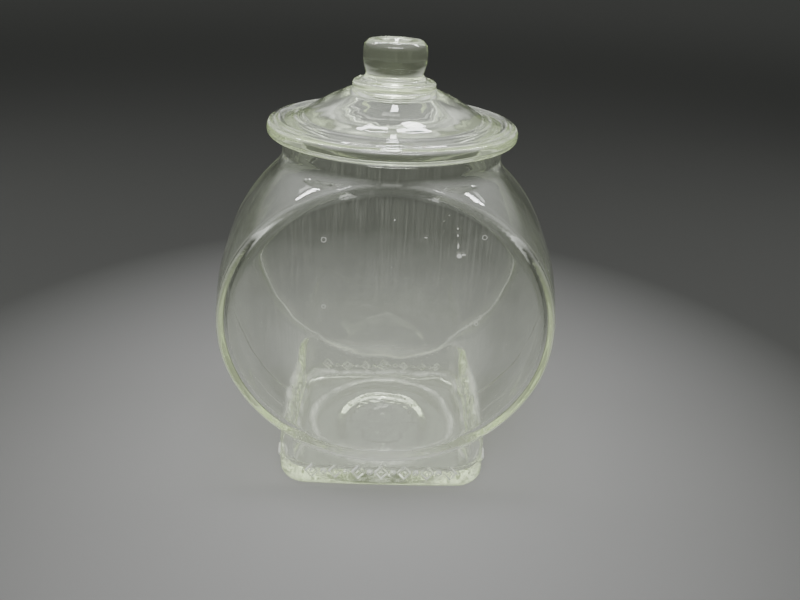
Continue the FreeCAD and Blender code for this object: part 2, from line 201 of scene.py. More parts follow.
def jar_outside(p):
    """Negative inside the jar's outer surface; close to millimetres of distance near it."""
    z = p[..., 2]
    foot = pad(p, 0.0, push_up(p), FOOT_ROUND, FOOT_CORNER) - ornament(p)
    body = join(drum(p, 0.0, PANEL_ROUND, PANEL_DOME), foot, FOOT_BLEND)
    body = join(body, column(p, NECK), NECK_BLEND)
    calm = smooth((RIM - 8 - z) / 20.0) * smooth((z - 4.0) / 12.0)
    uneven = 0.10 * ripple(p, 52.0, 11) + 0.025 * ripple(p, 17.0, 12)
    uneven = uneven + 0.05 * ripple(p, 7.0, 13) * smooth((31 - z) / 8.0)
    seam = SEAM_HEIGHT * np.exp(-(p[..., 1] / SEAM_WIDTH) ** 2) * smooth((RIM - 3 - z) / 3.0)
    return body - calm * uneven - seam * smooth((z - 2.0) / 3.0)


def foot_gap(p):
    """On the outer surface: above zero on the foot, below zero on the bowl, zero at their joint."""
    return drum(p, 0.0, PANEL_ROUND, PANEL_DOME) - pad(p, 0.0, 0.0, FOOT_ROUND, FOOT_CORNER)


def outside_edges(p):
    """How near a point of the outer surface is to an edge or a joint, from 0 up."""
    side, end = drum_sides(p, 0.0, PANEL_DOME)
    gaps = np.stack([side - end, foot_gap(p), np.maximum(side, end) - column(p, NECK)])
    near = np.exp(-(gaps / EDGE_REACH) ** 2).max(axis=0)
    return near + 2 * np.exp(-(foot_gap(p) / 1.2) ** 2)


def inside_edges(p):
    """How near a point of the hollow's surface is to a rounded edge, from 0 to 1."""
    side, end = drum_sides(p, BOWL_WALL, PANEL_DOME)
    return np.exp(-((side - end) / (2 * EDGE_REACH)) ** 2)


def jar_inside(p):
    """Negative inside the jar's hollow."""
    z = p[..., 2]
    bowl = drum(p, BOWL_WALL, BOWL_WALL_ROUND, PANEL_DOME)
    foot = pad(p, FOOT_WALL, FLOOR + floor_dish(p), 9.0, FOOT_CORNER - 4.0)
    hollow = join(bowl, foot, 0.5 + 8.5 * smooth((62.0 - z) / 26.0))
    hollow = join(hollow, column(p, MOUTH), 7.0)
    calm = smooth((RIM - 10 - z) / 16.0)
    return hollow - calm * (0.11 * ripple(p, 66.0, 21) + 0.02 * ripple(p, 21.0, 22))


def floor_dish(p):
    """The hollow's floor rises to the middle, inside a low ring, with faint turning marks."""
    radius = np.hypot(p[..., 0], p[..., 1])
    rise = 2.6 * smooth((54.0 - radius) / 40.0)
    ring = 0.9 * np.exp(-((radius - FLOOR_RING) / 2.4) ** 2)
    marks = 0.16 * np.cos(2 * math.pi * radius / 8.5) * np.exp(-(radius / 26.0) ** 2)
    return rise + ring + marks


def cast(shape, start, way, reach):
    """The points where rays leave a shape, found by halving."""
    near = np.zeros(start.shape[:-1])
    far = np.full(start.shape[:-1], float(reach))
    for _ in range(26):
        middle = (near + far) / 2
        inside = shape(start + way * middle[..., None]) < 0
        near = np.where(inside, middle, near)
        far = np.where(inside, far, middle)
    return start + way * ((near + far) / 2)[..., None]


def slopes(shape, p, step=0.08):
    """Unit normals of a shape at points on its surface."""
    result = np.zeros_like(p)
    for axis in range(3):
        shift = np.zeros(3)
        shift[axis] = step
        result[..., axis] = shape(p + shift) - shape(p - shift)
    return result / (np.linalg.norm(result, axis=-1, keepdims=True) + 1e-12)


def peak(gap, width):
    """A bump of height 1 where the gap is zero."""
    return np.exp(-(gap / width) ** 2)


def ornament_slope(p, normals, step=0.3):
    """How steeply the raised row rises at each point, along its face and upwards."""
    facing_x = np.abs(normals[:, :1]) > np.abs(normals[:, 1:2])
    sideways = step * np.where(facing_x, (0, 1.0, 0), (1.0, 0, 0))
    upwards = np.array([0, 0, step])
    across = ornament(p + sideways) - ornament(p - sideways)
    rise = ornament(p + upwards) - ornament(p - upwards)
    return np.hypot(across, rise) / (2 * step)


def jar_highlight_frost(p, normals):
    """How frosted the glass is at raised work, edges and creases, from 0 to 1, for each point: painted
    highlight lines drawn as white frosting.
    """
    z = p[:, 2]
    outer = np.abs(jar_outside(p)) < 0.02
    inner = ~outer & (z < 40)
    gap = foot_gap(p)
    foot = outer & (gap > 0)
    bowl = outer & (gap <= 0) & (z < BOWL_MIDDLE + PANEL_HALF_HEIGHT)
    # Painted glints on the ornament's slopes and the foot's corners, drawn as white frosting.
    raised = smooth(ornament_slope(p, normals) / 0.9) * smooth((28.0 - z) / 3.0)
    corner = CORNER_FROST_HIGHLIGHT * (2 * np.abs(normals[:, 0] * normals[:, 1])) ** 4
    floor_edge = FLOOR_EDGE_FROST_HIGHLIGHT * peak(normals[:, 2] - 0.62, 0.16)
    radius = np.hypot(p[:, 0], p[:, 1])
    floor_ring = FLOOR_RING_FROST_HIGHLIGHT * peak(radius - FLOOR_RING, 1.8) * (z < FLOOR + 6)
    areas = np.where(foot, raised + corner, 0) + np.where(inner, floor_edge + floor_ring, 0)
    side, end = drum_sides(p, 0.0, PANEL_DOME)
    lower = 0.3 + 0.7 * smooth((BOWL_MIDDLE + 40.0 - z) / 60.0)
    strength = np.where(p[:, 1] < 0, FRONT_PANEL_FROST_HIGHLIGHT, BACK_PANEL_FROST_HIGHLIGHT)
    # Painted highlight lines along the panels' rounded edges, stronger lower down, and along the foot's
    # joint.
    panel_edge = strength * lower * peak(side - end, 1.2)
    joint = JOINT_FROST_HIGHLIGHT * peak(gap, 1.1) * smooth((50.0 - z) / 20.0)
    lines = np.where(bowl, panel_edge, 0) + np.where(outer, joint, 0)
    patchy = 0.75 + 0.35 * ripple(p, 13.0, 41)
    even = 0.95 + 0.12 * ripple(p, 31.0, 43)
    return np.clip(areas * patchy + lines * even, 0, 1)


# ---------------------------------------------------------------- mesh assembly

class Shell:
    """Collects rings of points, joins each ring to the last, and makes one closed mesh."""

    def __init__(self):
        self.points, self.normals, self.faces = [], [], []
        self.count = 0
        self.ring = None

    def add(self, points, normals):
        """Adds one ring, or a single pole point, and the faces back to the ring before."""
        size = len(points)
        ring = np.arange(self.count, self.count + size)
        self.points.append(points)
        self.normals.append(normals)
        self.count += size
        if self.ring is not None:
            self.bridge(self.ring, ring)
        self.ring = ring

    def add_rows(self, points, normals):
        for row in range(len(points)):
            self.add(points[row], normals[row])

    def bridge(self, a, b):
        """Faces between two rings whose sizes are equal, or one twice the other, or a pole."""
        if len(a) == len(b):
            following = np.roll(a, -1), np.roll(b, -1)
            self.faces += np.stack([a, following[0], following[1], b], 1).tolist()
        elif len(a) == 1:
            self.faces += [[a[0], b[(k + 1) % len(b)], b[k]] for k in range(len(b))]
        elif len(b) == 1:
            self.faces += [[a[k], a[(k + 1) % len(a)], b[0]] for k in range(len(a))]
        elif len(a) == 2 * len(b):
            self.halve(a, b, False)
        elif len(b) == 2 * len(a):
            self.halve(b, a, True)
        else:
            raise ValueError("rings of %d and %d points don't join" % (len(a), len(b)))

    def halve(self, fine, coarse, flip):
        """Three triangles for each pair of fine edges and the coarse edge across from it."""
        for k in range(len(coarse)):
            first, middle, last = fine[2 * k], fine[2 * k + 1], fine[(2 * k + 2) % len(fine)]
            here, there = coarse[k], coarse[(k + 1) % len(coarse)]
            for face in ([first, middle, here], [middle, there, here], [middle, last, there]):
                self.faces.append(face[::-1] if flip else face)

    def build(self, name, highlight_frost_of):
        """The finished object, in metres, smooth, with its own normals and its painted highlight frosting
        by point.
        """
        points = np.concatenate(self.points) * MM
        normals = np.concatenate(self.normals)
        mesh = bpy.data.meshes.new(name)
        mesh.from_pydata(points.tolist(), [], self.faces)
        mesh.validate()
        mesh.polygons.foreach_set("use_smooth", np.ones(len(mesh.polygons), bool))
        mesh.update()
        mesh.normals_split_custom_set_from_vertices(normals.tolist())
        highlight_frost = mesh.attributes.new("highlight_frost", "FLOAT", "POINT")
        highlight_frost.data.foreach_set("value", highlight_frost_of(points / MM, normals))
        piece = bpy.data.objects.new(name, mesh)
        bpy.context.scene.collection.objects.link(piece)
        return piece


# ---------------------------------------------------------------- the jar

FINE, HALF, MEDIUM, COARSE = 1152, 576, 288, 144
EDGE_REACH = 3.5                               # how far from an edge the rings crowd together
EDGE_CROWDING = 2.2


def column_angles():
    """Directions round the jar, closer together at the seams and the panels' upright edges."""
    turn = np.linspace(0, 2 * math.pi, 20001)
    level = np.full_like(turn, ORNAMENT_MIDDLE)
    way = np.stack([np.cos(turn), np.sin(turn), np.zeros_like(turn)], 1)
    start = np.stack([np.zeros_like(turn), np.zeros_like(turn), level], 1)
    outline = cast(lambda p: pad(p, 0.0, 0.0, FOOT_ROUND, FOOT_CORNER), start, way, 140.0)
    step = np.linalg.norm(np.diff(outline, axis=0), axis=1)
    seam = 1.6 * np.exp(-(outline[:-1, 1] / 2.2) ** 2)
    edge_turn = math.atan2(PANEL, PANEL_HALF_WIDTH)
    sharpest = np.arctan2(np.abs(outline[:-1, 1]), np.abs(outline[:-1, 0])) - edge_turn
    edge = 1.4 * np.exp(-(sharpest / 0.07) ** 2)
    along = np.concatenate([[0], np.cumsum(step * (1 + seam + edge))])
    return np.interp(np.arange(FINE) / FINE * along[-1], along, turn)


ANGLES = column_angles()


def around(count):
    """Unit vectors for a ring of a given size."""
    turn = ANGLES[::FINE // count]
    return np.stack([np.cos(turn), np.sin(turn), np.zeros_like(turn)], 1)


def levels(*stops):
    """Heights from (height, spacing) stops, each spacing holding up to the next stop."""
    heights = []
    for (low, spacing), (high, _) in zip(stops, stops[1:]):
        rows = max(1, round(abs(high - low) / spacing))
        heights += list(np.linspace(low, high, rows, endpoint=False))
    return np.array(heights + [stops[-1][0]])


def side_rows(shape, heights, count, sign):
    """Rings round a shape's side: heights holds one height for each ring, or for each point."""
    heights = np.asarray(heights, float)
    if heights.ndim == 1:
        heights = np.repeat(heights[:, None], count, axis=1)
    way = np.broadcast_to(around(count), heights.shape + (3,))
    points = cast(shape, heights[..., None] * np.array([0, 0, 1.0]), way, 150.0)
    return points, sign * slopes(shape, points)


def scan(shape, low, high, samples, count):
    """Points up a shape's side in every column, and their heights, between two heights."""
    share = np.linspace(0, 1, samples)[:, None]
    level = np.broadcast_to(low + (high - low) * share, (samples, count))
    return side_rows(shape, level, count, 1)[0], level


def joint_heights(shape, gap, low, high, count):
    """The height in every column where the gap first falls through zero."""
    points, level = scan(shape, low, high, 300, count)
    value = gap(points)
    first = np.argmax((value[:-1] > 0) & (value[1:] <= 0), axis=0)
    column_index = np.arange(count)
    above, below = value[first, column_index], value[first + 1, column_index]
    step = level[1, 0] - level[0, 0]
    return level[first, column_index] + step * above / (above - below)


def even_heights(shape, edges, low, high, rows, count):
    """Heights that share a side's surface out evenly in every column, closer at its edges."""
    points, level = scan(shape, low, high, 160, count)
    step = np.linalg.norm(np.diff(points, axis=0), axis=-1)
    step = step * (1 + EDGE_CROWDING * edges((points[1:] + points[:-1]) / 2))
    along = np.concatenate([np.zeros((1, count)), np.cumsum(step, axis=0)])
    share = np.linspace(0, 1, rows)
    return np.stack([np.interp(share * along[-1, k], along[:, k], level[:, k])
                     for k in range(count)], 1)


def flat_rows(shape, outline, shares, level, count, sign):
    """Rings on a shape's floor, each a share of an outline, found by casting down."""
    spread = around(count)[None] * outline[None, :, None] * np.array(shares)[:, None, None]
    start = spread + np.array([0, 0, level])
    points = cast(shape, start, np.array([0, 0, -1.0]), level + 5.0)
    return points, sign * slopes(shape, points)


def edge_rows(shape, centre, turns, sign):
    """Rings round a rounded lower edge, from straight down to level, about a centre line."""
    level = np.cos(turns)[:, None, None] * around(len(centre))
    way = level - np.sin(turns)[:, None, None] * np.array([0, 0, 1.0])
    points = cast(shape, np.broadcast_to(centre, way.shape), way, 30.0)
    return points, sign * slopes(shape, points)


def centre_line(shape, level, inset, count):
    """Points inside a shape's side at one height, and their distances from the axis."""
    ring = side_rows(shape, [level], count, 1)[0][0]
    distance = np.hypot(ring[:, 0], ring[:, 1]) - inset
    return around(count) * distance[:, None] + np.array([0, 0, level]), distance


def lip_rows():
    """Rings over the rounded lip, from the neck's outside to the mouth's inside."""
    quarter = np.linspace(0, math.pi / 2, 7)
    level = RIM - LIP_ROUND
    outer = [(NECK - LIP_ROUND + LIP_ROUND * math.cos(a), level + LIP_ROUND * math.sin(a),
              math.cos(a), math.sin(a)) for a in quarter]
    inner = [(MOUTH + LIP_ROUND - LIP_ROUND * math.cos(a), level + LIP_ROUND * math.sin(a),
              -math.cos(a), math.sin(a)) for a in quarter[::-1]]
    return outer + inner


def make_jar():
    """Bowl, foot, neck and ornament in one piece of glass, with its hollow."""
    shell = Shell()
    edge_centre, edge_reach = centre_line(jar_outside, FOOT_ROUND, FOOT_ROUND + 2, MEDIUM)
    shell.add(np.array([[0, 0, PUSH_UP_DEPTH]]), np.array([[0, 0, -1.0]]))
    shares = levels((0.04, 0.04), (0.93, 0.04))
    shell.add_rows(*flat_rows(jar_outside, edge_reach[::2], shares, 8.0, COARSE, 1))
    shell.add_rows(*flat_rows(jar_outside, edge_reach, [0.97, 1.0], 8.0, MEDIUM, 1))
    turns = np.radians(np.linspace(80, 0, 9))
    shell.add_rows(*edge_rows(jar_outside, edge_centre, turns, 1))
    shell.add_rows(*side_rows(jar_outside, [7.1], HALF, 1))
    shell.add_rows(*side_rows(jar_outside, levels((7.7, 0.7), (23.1, 0.7)), FINE, 1))
    shell.add_rows(*side_rows(jar_outside, [23.8], HALF, 1))
    joint = joint_heights(jar_outside, foot_gap, 24.4, FOOT_TOP + 4, MEDIUM)
    lower = even_heights(jar_outside, outside_edges, 24.4, joint, 18, MEDIUM)
    shell.add_rows(*side_rows(jar_outside, lower[:-1], MEDIUM, 1))
    upper = even_heights(jar_outside, outside_edges, joint, RIM - LIP_ROUND - 0.8, 88, MEDIUM)
    shell.add_rows(*side_rows(jar_outside, upper, MEDIUM, 1))
    ring = around(MEDIUM)
    for radius, height, out, up in lip_rows():
        shell.add(ring * radius + np.array([0, 0, height]), ring * out + np.array([0, 0, up]))
    upward = even_heights(jar_inside, inside_edges, FLOOR + 12.0, RIM - LIP_ROUND - 1.5, 80, MEDIUM)
    shell.add_rows(*side_rows(jar_inside, upward[::-1], MEDIUM, -1))
    floor_centre, floor_reach = centre_line(jar_inside, FLOOR + 11.0, 11.0, COARSE)
    shell.add_rows(*edge_rows(jar_inside, floor_centre, np.radians(np.linspace(8, 88, 10)), -1))
    shares = levels((0.98, 0.04), (0.04, 0.04))
    shell.add_rows(*flat_rows(jar_inside, floor_reach, shares, FLOOR + 11.0, COARSE, -1))
    centre = cast(jar_inside, np.array([[0, 0, FLOOR + 11.0]]), np.array([[0, 0, -1.0]]), 20.0)
    shell.add(centre, np.array([[0, 0, 1.0]]))
    return shell.build("jar_glass", jar_highlight_frost)


# ---------------------------------------------------------------- the lid

def rounded(corners, spacing=0.58):
    """A fine path through (radius, height, corner round, bulge) points.

    The bulge bows the stretch that leads to a point outwards, in millimetres at its middle.
    """
    path = []
    for index, (x, z, _, bulge) in enumerate(corners):
        here = np.array([x, z], float)
        if index == 0:
            path.append(here)
            continue
        last = np.array(corners[index - 1][:2], float)
        span = here - last
        length = np.hypot(*span)
        side = np.array([span[1], -span[0]]) / length
        steps = max(2, int(length / 0.1))
        for share in np.linspace(0, 1, steps + 1)[1:]:
            path.append(last + span * share - side * bulge * 4 * share * (1 - share))
    path = np.array(path)
    return relax(path, corners, spacing)


def relax(path, corners, spacing):
    """Rounds each corner with a moving average as wide as its round, then evens the spacing."""
    along = np.concatenate([[0], np.cumsum(np.linalg.norm(np.diff(path, axis=0), axis=1))])
    even = np.arange(0, along[-1], 0.05)
    fine = np.stack([np.interp(even, along, path[:, k]) for k in (0, 1)], 1)
    width = np.full(len(fine), 0.3)
    for x, z, reach, _ in corners:
        gap = np.hypot(fine[:, 0] - x, fine[:, 1] - z)
        width = np.maximum(width, reach - gap * 0.9)
    sums = np.concatenate([np.zeros((1, 2)), np.cumsum(fine, axis=0)])
    for _ in range(2):
        half = np.maximum((width / 0.05).astype(int), 1)
        index = np.arange(len(fine))
        half = np.minimum(half, np.minimum(index, len(fine) - 1 - index))
        fine = (sums[index + half + 1] - sums[index - half]) / (2 * half + 1)[:, None]
        sums = np.concatenate([np.zeros((1, 2)), np.cumsum(fine, axis=0)])
    along = np.concatenate([[0], np.cumsum(np.linalg.norm(np.diff(fine, axis=0), axis=1))])
    count = int(along[-1] / spacing)
    return np.stack([np.interp(np.linspace(0, along[-1], count), along, fine[:, k])
                     for k in (0, 1)], 1)


def lid_profile():
    """The lid's half section from the knob's top, over the flange, to the hollow's top."""
    return rounded([
        (0.0, LID_TOP - 2.6, 0.5, 0.0),
        (6.0, LID_TOP - 2.2, 1.5, 0.0),
        (10.0, LID_TOP - 0.6, 1.5, 0.0),
        (14.9, LID_TOP, 2.0, 0.0),
        (19.2, LID_TOP - 1.3, 3.0, 0.3),
        (21.0, LID_TOP - 9.5, 5.0, 0.6),
        (20.2, LID_TOP - 17.0, 4.0, 0.3),
        (18.6, LID_TOP - 21.4, 1.0, 0.2),
        (19.9, LID_TOP - 22.4, 0.6, 0.0),
        (20.1, LID_TOP - 23.4, 0.7, 0.0),
        (21.8, LID_TOP - 24.4, 1.0, 0.0),
        (26.0, LID_TOP - 25.0, 1.0, 0.0),
        (27.4, LID_TOP - 26.2, 0.9, 0.0),
        (27.7, LID_TOP - 29.9, 0.9, 0.0),
        (29.8, LID_TOP - 31.0, 1.0, 0.0),
        (60.5, LID_SEAT + 14.0, 3.0, 0.8),
        (64.5, LID_SEAT + 12.4, 1.2, 0.0),
        (65.8, LID_SEAT + 12.5, 0.8, 0.0),
        (67.5, LID_SEAT + 11.5, 1.0, 0.0),
        (73.0, LID_SEAT + 10.3, 0.8, 0.0),
        (75.6, LID_SEAT + 12.1, 1.2, 0.0),
        (78.2, LID_SEAT + 10.5, 0.8, 0.0),
        (FLANGE - 2.2, LID_SEAT + 10.1, 1.3, 0.0),
        (FLANGE, LID_SEAT + 6.2, 2.0, 0.5),
        (FLANGE - 0.9, LID_SEAT + 1.9, 1.2, 0.4),
        (76.8, LID_SEAT, 0.8, 0.0),
        (66.7, LID_SEAT, 0.7, 0.0),
        (66.0, LID_TIP, 1.2, 0.0),
        (60.6, LID_TIP, 1.6, 0.0),
        (57.5, LID_SEAT + 6.0, 3.0, 0.0),
        (24.0, LID_SEAT + 24.0, 6.0, 2.6),
        (0.0, LID_SEAT + 25.0, 0.5, 0.6),
    ])


def make_lid():
    """Knob, collar, dome, flange and plug, turned about the jar's axis, with faint unevenness."""
    profile = lid_profile()
    shell = Shell()
    count = 256
    turn = np.arange(count) / count * 2 * math.pi
    ring = np.stack([np.cos(turn), np.sin(turn), np.zeros(count)], 1)
    tangent = np.gradient(profile, axis=0)
    tangent /= np.linalg.norm(tangent, axis=1, keepdims=True)
    shell.add(np.array([[0, 0, profile[-1, 1]]]), np.array([[0, 0, -1.0]]))
    for (radius, height), (across, rise) in zip(profile[-2:0:-1], tangent[-2:0:-1]):
        points = ring * radius + np.array([0, 0, height])
        normals = ring * -rise + np.array([0, 0, across])
        shell.add(*unevened(points, normals, height))
    shell.add(np.array([[0, 0, profile[0, 1]]]), np.array([[0, 0, 1.0]]))
    return shell.build("lid_glass", lid_highlight_frost)


# The lid's edges, frosted white as painted highlight lines: (radius, height, how frosted it is).
LID_EDGES = (
    (FLANGE - 1.4, LID_SEAT + 9.2, 0.30),
    (FLANGE - 0.7, LID_SEAT + 1.6, 0.40),
    (77.2, LID_SEAT + 0.2, 0.35),
    (75.6, LID_SEAT + 12.0, 0.25),
    (78.4, LID_SEAT + 10.6, 0.20),
    (65.2, LID_SEAT + 12.4, 0.25),
    (66.2, LID_SEAT - 1.0, 0.25),
    (27.4, LID_TOP - 26.4, 0.30),
    (27.6, LID_TOP - 29.7, 0.25),
    (19.8, LID_TOP - 22.6, 0.35),
    (15.5, LID_TOP - 0.1, 0.25),
)


def lid_highlight_frost(p, _):
    """How frosted the lid is along its turned edges, from 0 to 1, for each point: painted highlight
    lines.
    """
    radius = np.hypot(p[:, 0], p[:, 1])
    highlight_frost = np.zeros(len(p))
    for across, up, strength in LID_EDGES:
        gap = np.hypot(radius - across, p[:, 2] - up)
        highlight_frost = np.maximum(highlight_frost, strength * peak(gap, 0.9))
    return highlight_frost * np.clip(0.8 + 0.4 * ripple(p, 19.0, 42), 0, 1.4)


def unevened(points, normals, height):
    """Moves a ring a little along its normals, except near the seat and the plug."""
    calm = float(smooth((height - RIM - 1.5) / 5.0))
    def push(p):
        return calm * (0.06 * ripple(p, 26.0, 31) + 0.012 * ripple(p, 9.0, 32))
    moved = points + normals * push(points)[:, None]
    tilt = np.zeros_like(normals)
    for axis in range(3):
        shift = np.zeros(3)
        shift[axis] = 0.1
        tilt[:, axis] = (push(points + shift) - push(points - shift)) / 0.2
    bent = normals - (tilt - normals * np.sum(tilt * normals, axis=1, keepdims=True))
    return moved, bent / np.linalg.norm(bent, axis=1, keepdims=True)


# ---------------------------------------------------------------- materials

class Nodes:
    """A short way to add nodes to a material or world and link them."""

    def __init__(self, owner):
        owner.use_nodes = True
        self.tree = owner.node_tree
        self.tree.nodes.clear()

    def add(self, kind, inputs=None, **settings):
        node = self.tree.nodes.new(kind)
        for key, value in settings.items():
            setattr(node, key, value)
        for key, value in (inputs or {}).items():
            if isinstance(value, bpy.types.NodeSocket):
                self.tree.links.new(value, node.inputs[key])
            else:
                node.inputs[key].default_value = value
        return node

    def link(self, source, target):
        self.tree.links.new(source, target)

    def maths(self, operation, a, b=0.0, clamp=False):
        node = self.add("ShaderNodeMath", {0: a, 1: b}, operation=operation)
        node.use_clamp = clamp
        return node.outputs[0]

    def ramp(self, value, low, high, bottom=0.0, top=1.0):
        """Maps value from low..high to bottom..top, and holds it beyond them."""
        node = self.add("ShaderNodeMapRange", {"Value": value, "From Min": low, "From Max": high,
                                               "To Min": bottom, "To Max": top})
        return node.outputs[0]

    def noise(self, place, scale, detail=2.0, roughness=0.5):
        node = self.add("ShaderNodeTexNoise", {"Vector": place, "Scale": scale, "Detail": detail,
                                               "Roughness": roughness})
        return node.outputs["Fac"]

    def stretched(self, place, factors):
        node = self.add("ShaderNodeMapping", {"Vector": place, "Scale": factors})
        return node.outputs[0]


# The floor keeps its pale colour up to the first reach and is painted darker out to the second, in
# metres: a painted pool of light round the object that falls off into painted shade.
FLOOR_PALE = (0.25, 0.25, 0.247, 1)
FLOOR_PAINTED_FALLOFF = (0.060, 0.061, 0.058, 1)
FLOOR_PALE_REACH = 0.12
FLOOR_FALLOFF_REACH = 0.46

GLASS_TINT = (0.74, 0.86, 0.46, 1)             # what a metre of the glass lets through, before density
GLASS_PAINTED_GLOW = (0.84, 0.93, 0.66, 1)             # painted glow: emission that stands in for light piped along thick glass

# Dried splashes on the front panel: (across, up, half width, half height), in millimetres.
SPLASHES = (
    (41.1, 208.9, 0.5, 0.7), (41.5, 204.5, 0.6, 0.8), (42.2, 197.3, 0.5, 2.0),
    (43.5, 190.9, 1.7, 1.7), (46.2, 191.8, 1.4, 0.6), (2.5, 212.9, 0.4, 0.6), (22.0, 202.3, 1.1, 0.4),
)
# Small open bubbles in the front panel: (across, up, radius).
BUBBLES = ((-40.4, 198.6, 1.5), (58.1, 203.7, 1.4), (-40.9, 152.6, 1.2), (58.3, 143.4, 1.2))


def oval_reach(n, x, z, across, up, half_width, half_height):
    """How far a point is from a mark's middle, as a share of the mark's half sizes."""
    side = n.maths("DIVIDE", n.maths("SUBTRACT", x, across * MM), half_width * MM)
    rise = n.maths("DIVIDE", n.maths("SUBTRACT", z, up * MM), half_height * MM)
    total = n.maths("ADD", n.maths("MULTIPLY", side, side), n.maths("MULTIPLY", rise, rise))
    return n.maths("SQRT", total)


def panel_marks(n, place, ragged):
    """Where the front panel has dried splashes or the rims of small bubbles, from 0 to 1."""
    axes = n.add("ShaderNodeSeparateXYZ", {0: place})
    x = n.maths("ADD", axes.outputs["X"], n.maths("MULTIPLY", ragged, 0.0008))
    z = n.maths("ADD", axes.outputs["Z"], n.maths("MULTIPLY", ragged, 0.0011))
    marks = 0.0
    for across, up, half_width, half_height in SPLASHES:
        reach = oval_reach(n, x, z, across, up, half_width, half_height)
        marks = n.maths("MAXIMUM", marks, n.ramp(reach, 0.7, 1.1, 1.0, 0.0))
    for across, up, radius in BUBBLES:
        reach = oval_reach(n, x, z, across, up, radius, radius)
        rim = n.maths("ABSOLUTE", n.maths("SUBTRACT", reach, 1.0))
        marks = n.maths("MAXIMUM", marks, n.ramp(rim, 0.12, 0.3, 0.4, 0.0))
    front = n.ramp(axes.outputs["Y"], -0.070, -0.074, 0.0, 1.0)
    return n.maths("MULTIPLY", marks, front)


def glass_material(name, density, painted_glow, grime, unevenness, marked):
    """Clear pressed glass: tinted with depth, finely rippled, scratched and dusty, frosted white along
    edges as painted highlight lines, and given a painted glow from inside.

    A marked one also has dried splashes and small open bubbles on its front.
    """
    material = bpy.data.materials.new(name)
    n = Nodes(material)
    place = n.add("ShaderNodeTexCoord").outputs["Object"]
    waves = n.noise(place, 60.0, 1.5)
    pits = n.noise(place, 420.0, 3.0)
    height = n.maths("ADD", n.maths("MULTIPLY", waves, 0.7), n.maths("MULTIPLY", pits, 0.05))
    bump = n.add("ShaderNodeBump", {"Height": height, "Strength": unevenness, "Distance": 0.004})
    streaks = n.noise(n.stretched(place, (900.0, 900.0, 22.0)), 1.0, 2.0)
    patches = n.ramp(n.noise(place, 26.0, 3.0, 0.6), 0.42, 0.68, 0.15, 1.0)
    scratches = n.maths("MULTIPLY", n.ramp(streaks, 0.50, 0.68), patches)
    rough = n.maths("ADD", n.maths("MULTIPLY", scratches, 0.05), 0.004)
    glass = n.add("ShaderNodeBsdfGlass", {"Color": (0.985, 0.99, 0.98, 1), "IOR": 1.51,
                                          "Roughness": rough, "Normal": bump.outputs[0]})
    specks = n.add("ShaderNodeTexVoronoi", {"Vector": place, "Scale": 120.0, "Randomness": 1.0})
    speck = n.ramp(specks.outputs["Distance"], 0.03, 0.07, 0.35, 0.0)
    sparse = n.ramp(n.noise(place, 24.0, 1.0), 0.58, 0.66)
    smears = n.noise(n.stretched(place, (34.0, 34.0, 12.0)), 1.0, 4.0, 0.65)
    film = n.ramp(smears, 0.4, 0.75, 0.25, 1.0)
    dirt_and_highlights = n.maths("MULTIPLY", n.maths("ADD", film, n.maths("MULTIPLY", scratches, 6.0)), grime)
    dirt_and_highlights = n.maths("ADD", dirt_and_highlights, n.maths("MULTIPLY", speck, sparse), clamp=True)
    if marked:
        dirt_and_highlights = n.maths("MAXIMUM", dirt_and_highlights, panel_marks(n, place, n.maths("SUBTRACT", pits, 0.5)))
    # The point attribute read here holds painted highlight lines along edges, joints and the ornament,
    # drawn as white frosting.
    highlight_frost = n.add("ShaderNodeAttribute", attribute_name="highlight_frost").outputs["Fac"]
    dirt_and_highlights = n.maths("MAXIMUM", dirt_and_highlights, highlight_frost)
    # One white frost serves both for real dust and for the painted highlight lines.
    dust_and_highlight = n.add("ShaderNodeBsdfDiffuse", {"Color": (0.88, 0.89, 0.86, 1)})
    lit_through = n.add("ShaderNodeBsdfTranslucent", {"Color": (0.88, 0.90, 0.84, 1)})
    frost = n.add("ShaderNodeMixShader", {0: 0.45, 1: dust_and_highlight.outputs[0], 2: lit_through.outputs[0]})
    surface = n.add("ShaderNodeMixShader", {0: dirt_and_highlights, 1: glass.outputs[0], 2: frost.outputs[0]})
    clear = n.add("ShaderNodeBsdfTransparent", {"Color": shadow_tint(n)})
    path = n.add("ShaderNodeLightPath")
    lit = n.maths("MAXIMUM", path.outputs["Is Shadow Ray"], path.outputs["Is Diffuse Ray"])
    seen = n.add("ShaderNodeMixShader", {0: lit, 1: surface.outputs[0], 2: clear.outputs[0]})
    body = glass_body(n, density, painted_glow)
    n.add("ShaderNodeOutputMaterial", {"Surface": seen.outputs[0], "Volume": body})
    return material


def shadow_tint(n):
    """How much light a wall lets through to the floor: less where it is seen edge-on."""
    facing = n.add("ShaderNodeLayerWeight", {"Blend": 0.35}).outputs["Facing"]
    through = n.ramp(n.maths("POWER", facing, 2.2), 0.0, 1.0, 0.965, 0.55)
    green = n.maths("MULTIPLY", through, 1.004)
    blue = n.maths("MULTIPLY", through, 0.985)
    colour = n.add("ShaderNodeCombineColor", {"Red": through, "Green": green, "Blue": blue})
    return colour.outputs[0]


def glass_body(n, density, painted_glow):
    """The inside of the glass, which absorbs light, and a painted glow: emission that stands in for light
    piped along thick glass.
    """
    absorbs = n.add("ShaderNodeVolumeAbsorption", {"Color": GLASS_TINT, "Density": density})
    # Painted glow: the glass gives out light of its own, more where it is thicker.
    glows = n.add("ShaderNodeEmission", {"Color": GLASS_PAINTED_GLOW, "Strength": painted_glow})
    both = n.add("ShaderNodeAddShader", {0: absorbs.outputs[0], 1: glows.outputs[0]})
    return both.outputs[0]


